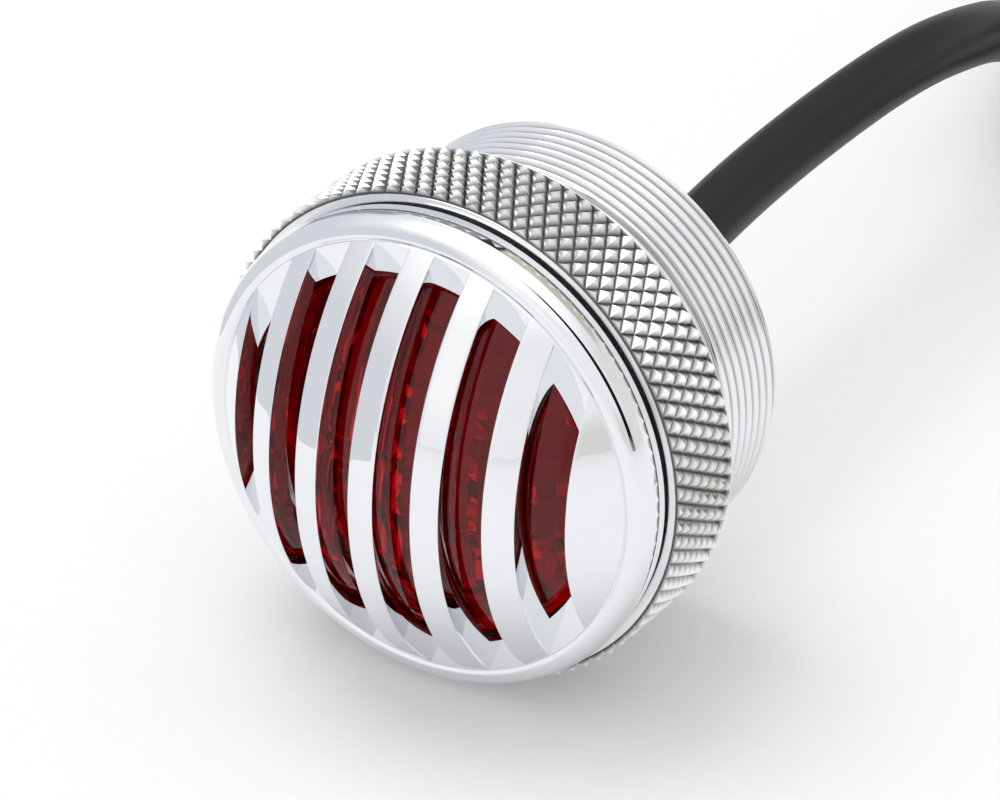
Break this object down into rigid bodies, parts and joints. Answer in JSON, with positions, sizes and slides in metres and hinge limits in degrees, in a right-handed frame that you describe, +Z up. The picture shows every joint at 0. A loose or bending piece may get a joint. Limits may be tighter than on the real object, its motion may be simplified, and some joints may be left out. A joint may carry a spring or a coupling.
{
  "type": "motorcycle tail light",
  "caption": "Round screw-in motorcycle tail light with a finned grille cap over a red lens, a threaded barrel, a knurled locking collar and a trailing lead.",
  "frame": {"origin": "on the resting surface, under the middle of the lamp without its lead", "axes": "+Y along the lamp axis from the grille to the lead, +Z up, parallel to the grille's slots"},
  "size_m": [0.0867, 0.2071, 0.0518],
  "materials": {
    "chrome_plate": "mirror-polished chrome plate",
    "chrome_barrel": "chrome plate over a machined thread",
    "chrome_knurl": "chrome plate over a cut knurl",
    "washer_rubber": "matt black rubber",
    "red_lens": "clear deep red moulded lens",
    "gasket_rubber": "matt black rubber",
    "metallised_plastic": "vacuum-metallised reflector",
    "solder_mask": "white solder mask",
    "zinc_screw": "zinc-plated steel",
    "led_package": "moulded light source with a phosphor window",
    "resistor_ceramic": "coated ceramic chip",
    "moulded_epoxy": "moulded epoxy package",
    "boot_rubber": "satin black rubber",
    "crimp_brass": "plain brass",
    "red_insulation": "red PVC",
    "yellow_insulation": "yellow PVC",
    "black_insulation": "black PVC",
    "cable_jacket": "satin black PVC jacket",
    "tie_nylon": "black nylon",
    "heat_shrink": "black heat-shrink sleeve",
    "clear_vinyl": "clear soft vinyl",
    "terminal_brass": "plain drawn brass"
  },
  "bodies": {
    "housing": {"grille_cap": "chrome_plate", "threaded_barrel": "chrome_barrel", "tail_lens": "red_lens", "lens_gasket": "gasket_rubber", "reflector": "metallised_plastic", "led_board": "solder_mask", "board_screws": "zinc_screw", "brake_leds": "led_package", "tail_leds": "led_package", "resistors": "resistor_ceramic", "regulator": "moulded_epoxy", "strain_relief": "boot_rubber", "cable_stop": "crimp_brass", "red_core": "red_insulation", "yellow_core": "yellow_insulation", "black_core": "black_insulation", "cable": "cable_jacket", "cable_tail": "cable_jacket", "cable_coil": "cable_jacket", "coil_tie": "tie_nylon", "end_sleeve": "heat_shrink", "red_lead": "red_insulation", "yellow_lead": "yellow_insulation", "black_lead": "black_insulation", "terminal_sleeves": "clear_vinyl", "bullet_terminals": "terminal_brass"},
    "washer": {"collar_washer": "washer_rubber"},
    "collar": {"knurled_collar": "chrome_knurl"}
  },
  "joints": [
    {"name": "collar_travel", "type": "slide", "parent": "housing", "child": "washer", "axis": [0, 1, 0], "range_m": [0, 0.01271]},
    {"name": "collar_turn", "type": "hinge", "parent": "washer", "child": "collar", "pos_m": [0, 0, 0.02592], "axis": [0, 1, 0], "range_deg": [0, 3600]}
  ],
  "couplings": [
    {"joint": "collar_travel", "follows": "collar_turn", "m_per_rad": 0.00020213}
  ]
}
